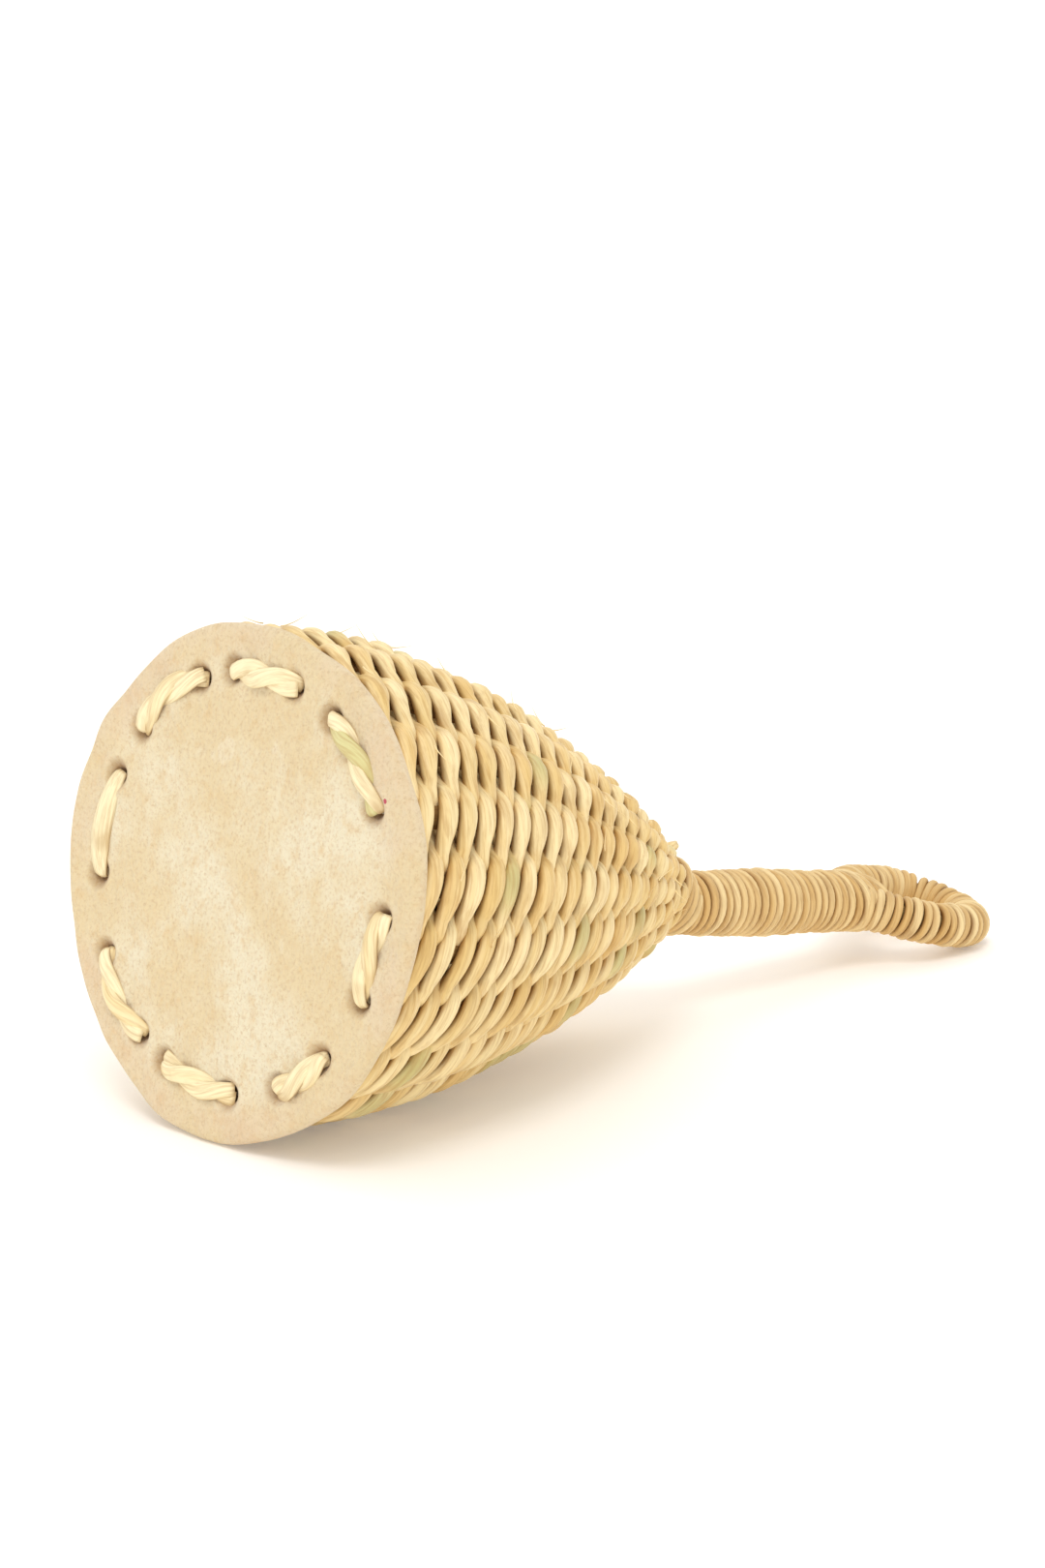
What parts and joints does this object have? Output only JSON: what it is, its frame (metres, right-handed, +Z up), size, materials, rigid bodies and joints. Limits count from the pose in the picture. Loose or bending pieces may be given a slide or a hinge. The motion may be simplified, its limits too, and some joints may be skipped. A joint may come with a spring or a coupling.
{
  "type": "basket rattle",
  "caption": "Hand rattle: a pear-shaped basket twined from grass, closed by a stitched disc of hide, with a bound handle and hanging loop.",
  "frame": {"origin": "on the surface it lies on, under the middle of its bounding box", "axes": "+X level, from the hide disc towards the hanging loop; +Z up; it lies on the belly of the basket and the tip of the loop"},
  "size_m": [0.2082, 0.092, 0.0912],
  "materials": {
    "hide": "matt, suede-like",
    "stitch_grass": "dry twisted grass, satin",
    "weft_grass": "dry twisted grass, satin",
    "wrap_grass": "dry grass cord, matt",
    "stake_grass": "dry straw",
    "seed": "smooth seed coat"
  },
  "bodies": {
    "basket": {"base_stitch_1": "stitch_grass", "base_stitch_2": "stitch_grass", "base_stitch_3": "stitch_grass", "base_stitch_4": "stitch_grass", "base_stitch_5": "stitch_grass", "base_stitch_6": "stitch_grass", "base_stitch_7": "stitch_grass", "base_stitch_8": "stitch_grass", "handle_wrap": "wrap_grass", "hide_base": "hide", "loop_core": "stake_grass", "loop_wrap": "wrap_grass", "neck_binding": "wrap_grass", "stake_stub": "stake_grass", "stakes": "stake_grass", "weft_row_01": "weft_grass", "weft_row_02": "weft_grass", "weft_row_03": "weft_grass", "weft_row_04": "weft_grass", "weft_row_05": "weft_grass", "weft_row_06": "weft_grass", "weft_row_07": "weft_grass", "weft_row_08": "weft_grass", "weft_row_09": "weft_grass", "weft_row_10": "weft_grass", "weft_row_11": "weft_grass", "weft_row_12": "weft_grass", "weft_row_13": "weft_grass", "weft_row_14": "weft_grass", "weft_row_15": "weft_grass", "weft_row_16": "weft_grass", "weft_row_17": "weft_grass", "weft_row_18": "weft_grass", "weft_row_19": "weft_grass", "weft_row_20": "weft_grass"},
    "seed_1_body": {"seed_1": "seed"},
    "seed_2_body": {"seed_2": "seed"},
    "seed_3_body": {"seed_3": "seed"},
    "seed_4_body": {"seed_4": "seed"},
    "seed_5_body": {"seed_5": "seed"},
    "seed_6_body": {"seed_6": "seed"},
    "seed_7_body": {"seed_7": "seed"},
    "seed_8_body": {"seed_8": "seed"}
  },
  "joints": [
    {"name": "seed_roll_1", "type": "slide", "parent": "basket", "child": "seed_1_body", "axis": [0.9955, -0.0869, -0.0389], "range_m": [0, 0.0283]},
    {"name": "seed_roll_2", "type": "slide", "parent": "basket", "child": "seed_2_body", "axis": [0.9967, -0.0802, 0.0101], "range_m": [0, 0.0287]},
    {"name": "seed_roll_3", "type": "slide", "parent": "basket", "child": "seed_3_body", "axis": [0.9991, -0.0388, -0.0193], "range_m": [0, 0.0283]},
    {"name": "seed_roll_4", "type": "slide", "parent": "basket", "child": "seed_4_body", "axis": [0.9995, -0.0164, 0.0252], "range_m": [0, 0.0287]},
    {"name": "seed_roll_5", "type": "slide", "parent": "basket", "child": "seed_5_body", "axis": [0.9998, 0.013, -0.0153], "range_m": [0, 0.0283]},
    {"name": "seed_roll_6", "type": "slide", "parent": "basket", "child": "seed_6_body", "axis": [0.9986, 0.049, 0.0201], "range_m": [0, 0.0287]},
    {"name": "seed_roll_7", "type": "slide", "parent": "basket", "child": "seed_7_body", "axis": [0.9976, 0.0637, -0.0272], "range_m": [0, 0.0283]},
    {"name": "seed_roll_8", "type": "slide", "parent": "basket", "child": "seed_8_body", "axis": [0.994, 0.1095, -0.0046], "range_m": [0, 0.0287]}
  ]
}
